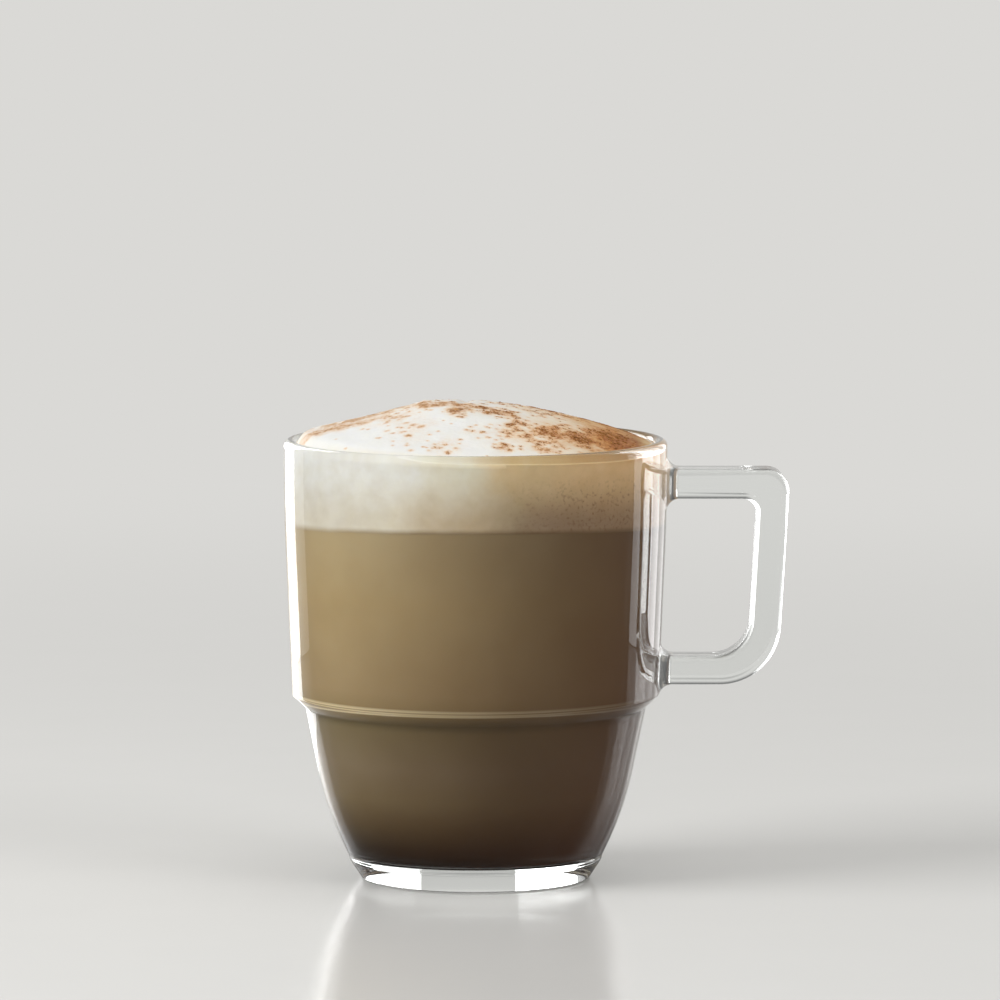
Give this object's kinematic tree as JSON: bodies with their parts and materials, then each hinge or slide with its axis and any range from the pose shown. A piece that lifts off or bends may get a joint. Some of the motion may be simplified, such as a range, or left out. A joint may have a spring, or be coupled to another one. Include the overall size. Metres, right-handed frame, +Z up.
{
  "type": "stacking glass mug of milk coffee",
  "caption": "Clear glass stacking mug with a fused square handle, filled with milk coffee, a thick milk foam heaped above the rim and a dusting of cocoa.",
  "frame": {"origin": "centre of the standing ring, on the bowl's axis at table height", "axes": "+Z up along the bowl's axis, +X towards the handle, +Y across, so that the view along +Y shows the handle on the right"},
  "size_m": [0.0947, 0.072, 0.0902],
  "materials": {
    "clear_glass": "clear, fire-polished",
    "milk_coffee": "wet liquid",
    "milk_foam": "fine wet foam",
    "cocoa": "dry powder"
  },
  "bodies": {
    "root": {"glass_bowl": "clear_glass", "glass_handle": "clear_glass", "latte": "milk_coffee", "milk_foam": "milk_foam", "cocoa_powder": "cocoa"}
  },
  "joints": []
}
